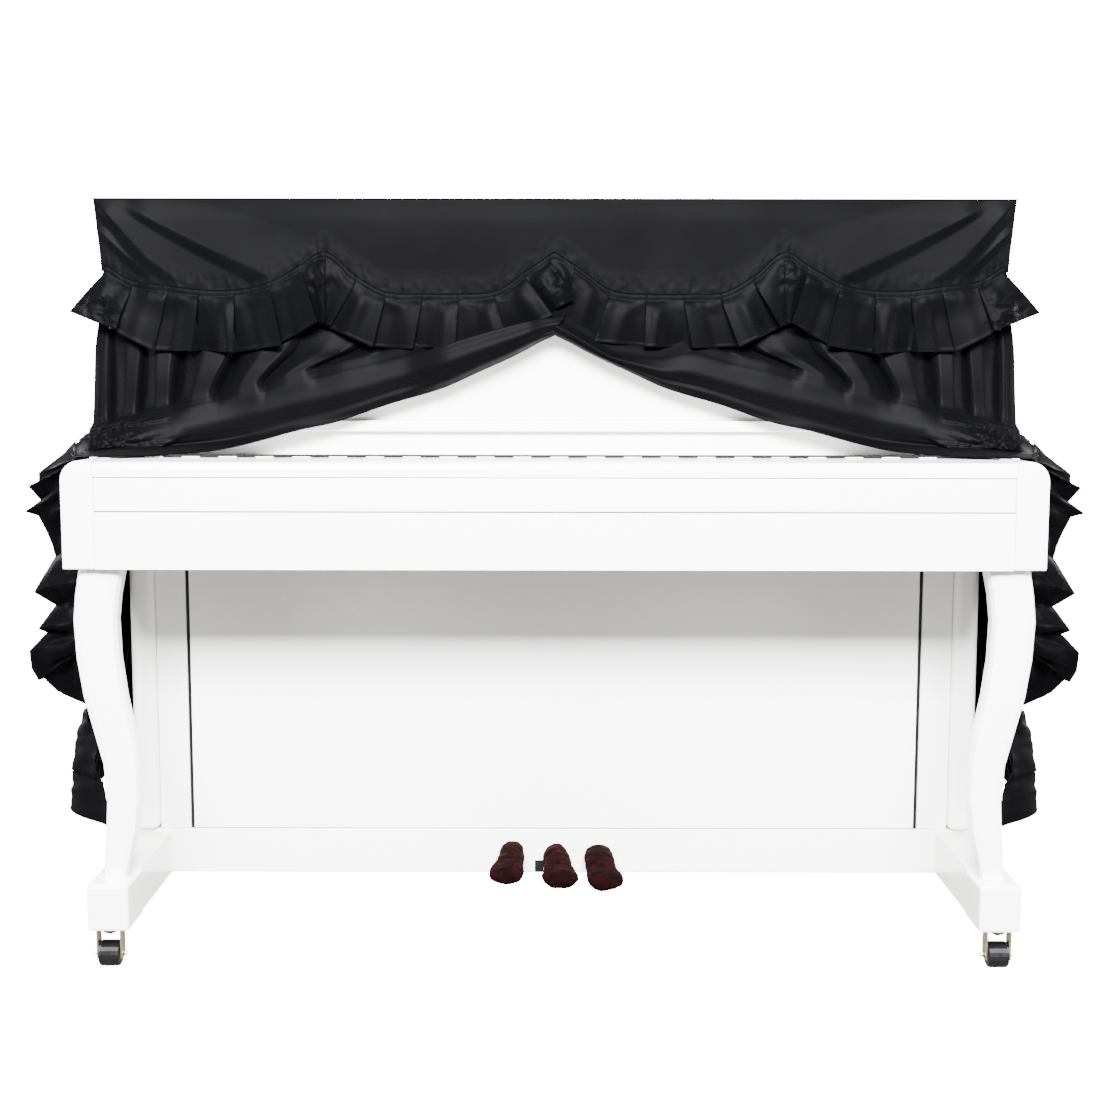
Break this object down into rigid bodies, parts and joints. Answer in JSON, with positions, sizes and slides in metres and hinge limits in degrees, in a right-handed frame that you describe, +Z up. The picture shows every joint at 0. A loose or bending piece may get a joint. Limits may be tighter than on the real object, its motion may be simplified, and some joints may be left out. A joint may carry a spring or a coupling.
{
  "type": "piano cover on upright piano",
  "caption": "Black satin cover draped over a white upright piano: scalloped frill, curtains swept to the corners, dark red pedal sleeves.",
  "frame": {"origin": "on the floor under the piano, at the centre of the bounding box", "axes": "+X across the piano to the player's right, +Y from the keyboard side to the back, +Z up"},
  "size_m": [1.7202, 0.5896, 1.2262],
  "materials": {
    "satin": "black satin with a soft cool sheen",
    "velvet": "dark red velvet",
    "white_gloss": "white gloss lacquer",
    "brass": "pale brass, polished",
    "black_rubber": "black, semi-gloss"
  },
  "bodies": {
    "root": {"bottom_rail": "white_gloss", "case_core": "white_gloss", "case_side_left": "white_gloss", "case_side_right": "white_gloss", "case_strip_left": "white_gloss", "case_strip_right": "white_gloss", "castor_fork_front_left": "brass", "castor_fork_front_right": "brass", "castor_fork_rear_left": "brass", "castor_fork_rear_right": "brass", "castor_wheel_front_left": "black_rubber", "castor_wheel_front_right": "black_rubber", "castor_wheel_rear_left": "black_rubber", "castor_wheel_rear_right": "black_rubber", "cheek_left": "white_gloss", "cheek_right": "white_gloss", "cover_back": "satin", "cover_top": "satin", "cover_yoke": "satin", "curtain_left": "satin", "curtain_right": "satin", "curtain_tail_left": "satin", "curtain_tail_right": "satin", "fallboard": "white_gloss", "fallboard_rail": "white_gloss", "fallboard_rear": "white_gloss", "frill_front": "satin", "frill_side_left": "satin", "frill_side_right": "satin", "hem_frill_left": "satin", "hem_frill_right": "satin", "hinge": "brass", "key_slip": "white_gloss", "keybed": "white_gloss", "leg_left": "white_gloss", "leg_right": "white_gloss", "lid": "white_gloss", "lower_panel": "white_gloss", "music_ledge": "white_gloss", "name_board": "white_gloss", "pedal_sleeve_left": "velvet", "pedal_sleeve_middle": "velvet", "pedal_sleeve_right": "velvet", "pedal_slot_plate": "black_rubber", "pilaster_left": "white_gloss", "pilaster_right": "white_gloss", "side_panel_left": "satin", "side_panel_right": "satin", "tail_frill_left": "satin", "tail_frill_right": "satin", "toe_arm_left": "white_gloss", "toe_arm_right": "white_gloss", "toe_block_left": "white_gloss", "toe_block_right": "white_gloss", "upper_panel": "white_gloss"}
  },
  "joints": []
}
